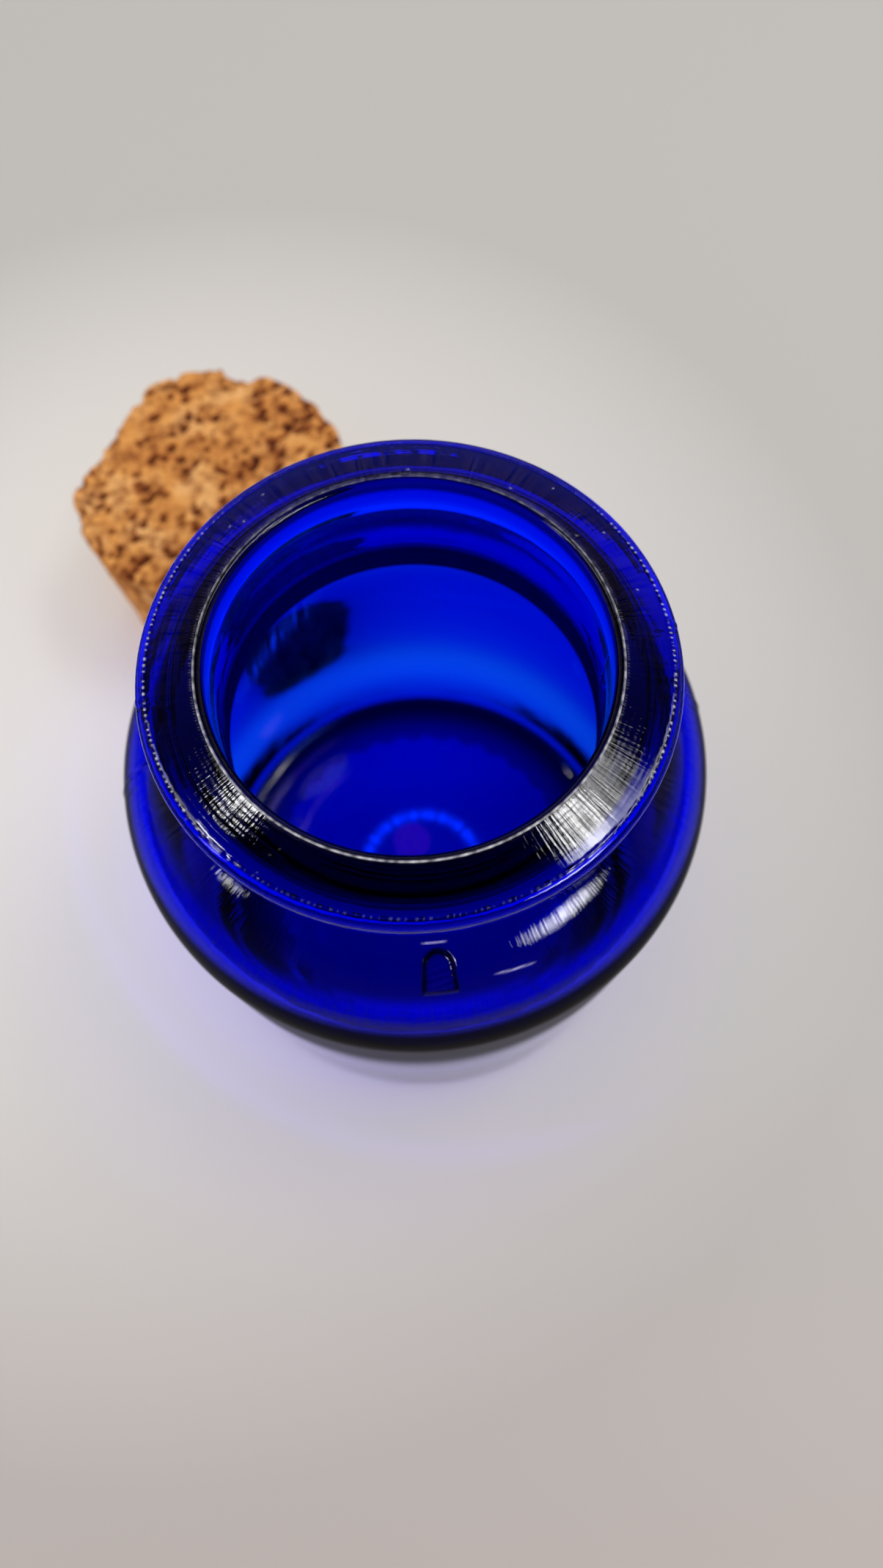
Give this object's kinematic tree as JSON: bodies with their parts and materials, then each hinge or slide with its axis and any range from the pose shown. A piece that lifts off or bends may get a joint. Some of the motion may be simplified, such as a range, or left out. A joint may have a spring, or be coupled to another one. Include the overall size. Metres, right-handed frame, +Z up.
{
  "type": "cork-stoppered glass jar",
  "caption": "Squat wide-mouth glass jar with a flared bevelled lip and a rounded shoulder, and its tapered natural cork stopper standing on the table behind it.",
  "frame": {"origin": "centre of the jar's bearing ring, on the table", "axes": "+Z up the jar's axis and out of its mouth; -Y is the front, with the lug; the stopper stands behind and to the left, at -X +Y"},
  "size_m": [0.1169, 0.1576, 0.104],
  "materials": {
    "cobalt_glass": "clear deep cobalt-blue moulded glass, fire-polished, gloss",
    "natural_cork": "matt natural cork with dark pits and chipped edges"
  },
  "bodies": {
    "jar": {"glass_jar": "cobalt_glass"},
    "stopper": {"cork_stopper": "natural_cork"}
  },
  "joints": [
    {"name": "stopper_lift", "type": "slide", "parent": "jar", "child": "stopper", "axis": [0, 0, 1], "range_m": [0, 0.12]}
  ]
}
